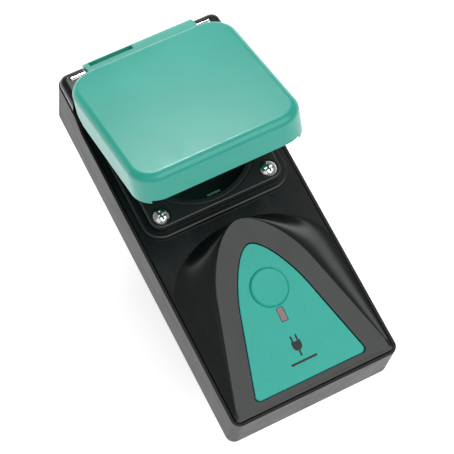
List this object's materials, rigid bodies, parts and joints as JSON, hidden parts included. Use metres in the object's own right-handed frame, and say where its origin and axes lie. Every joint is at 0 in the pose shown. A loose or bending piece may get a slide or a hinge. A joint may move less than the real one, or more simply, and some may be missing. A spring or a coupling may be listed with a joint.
{
  "type": "plug-in residual current adaptor",
  "caption": "Splash-proof plug-in residual current adaptor: black box with plug on the back, lidded outlet at the head and a green fin panel with test/reset button.",
  "frame": {"origin": "centre of the flat end face of the plug on the back, where the plug bottoms in a wall outlet", "axes": "+Z out of the front of the outlet, +Y along the box towards the lid hinge, +X to the right seen from the front"},
  "size_m": [0.0576, 0.1266, 0.0962],
  "materials": {
    "housing_black": "satin moulded plastic",
    "cover_black": "satin moulded plastic",
    "insert_black": "fine satin moulded plastic",
    "lid_green": "satin moulded plastic",
    "panel_green": "fine textured plastic",
    "lens_red": "tinted plastic window",
    "seal_rubber": "moulded rubber",
    "screw_chrome": "bright plated steel",
    "pin_nickel": "nickel plated brass",
    "steel": "plain steel",
    "brass": "plain brass",
    "copper": "copper, lacquered on the coils",
    "board_green": "glass-fibre circuit board with solder mask",
    "ferrite": "dark moulded or sintered material",
    "cream_plastic": "moulded insulating plastic",
    "wire_brown": "wire insulation",
    "wire_blue": "wire insulation",
    "capacitor_amber": "potted case"
  },
  "bodies": {
    "housing": {"rear_housing": "housing_black", "front_cover": "cover_black", "housing_seal": "seal_rubber", "housing_screw_1": "steel", "housing_screw_2": "steel", "housing_screw_3": "steel", "housing_screw_4": "steel", "outlet_insert": "insert_black", "outlet_gasket": "seal_rubber", "flange_screw_1": "screw_chrome", "flange_screw_2": "screw_chrome", "flange_screw_3": "screw_chrome", "flange_screw_4": "screw_chrome", "outlet_earth_clip": "pin_nickel", "outlet_sleeve_line": "brass", "outlet_sleeve_neutral": "brass", "plug_pin_line": "pin_nickel", "plug_pin_neutral": "pin_nickel", "plug_earth_strap": "pin_nickel", "earth_link": "copper", "fin_panel": "panel_green", "button_spring": "steel", "indicator_lens": "lens_red", "circuit_board": "board_green", "board_screw_1": "steel", "board_screw_2": "steel", "push_switch": "ferrite", "indicator_lamp": "lens_red", "transformer_core": "ferrite", "transformer_winding": "copper", "feed_wire_line": "wire_brown", "feed_wire_neutral": "wire_blue", "load_wire_line": "wire_brown", "load_wire_neutral": "wire_blue", "filter_capacitor": "capacitor_amber", "surge_disc": "wire_blue", "control_chip": "ferrite", "relay_yoke": "steel", "relay_bobbin": "cream_plastic", "relay_coil": "copper", "fixed_contact_line": "brass", "fixed_contact_neutral": "brass", "hinge_pin": "screw_chrome"},
    "lid": {"lid": "lid_green", "lid_gasket": "seal_rubber"},
    "button": {"button": "panel_green"},
    "relay_armature": {"relay_armature": "steel", "contact_bridge": "cream_plastic", "moving_contact_line": "brass", "moving_contact_neutral": "brass"}
  },
  "joints": [
    {"name": "lid_hinge", "type": "hinge", "parent": "housing", "child": "lid", "pos_m": [0, 0.0339, 0.0441], "axis": [-1, 0, 0], "range_deg": [-28, 72]},
    {"name": "button_press", "type": "slide", "parent": "housing", "child": "button", "axis": [0, 0, -1], "range_m": [0, 0.0015], "stiffness_N_per_m": 800, "springref_m": -0.0015, "deforming": ["button_spring"]},
    {"name": "relay_swing", "type": "hinge", "parent": "housing", "child": "relay_armature", "pos_m": [-0.0183, -0.071, 0.0315], "axis": [0, 0, -1], "range_deg": [0, 5], "stiffness_Nm_per_rad": 0.05, "springref_deg": -2.86}
  ]
}
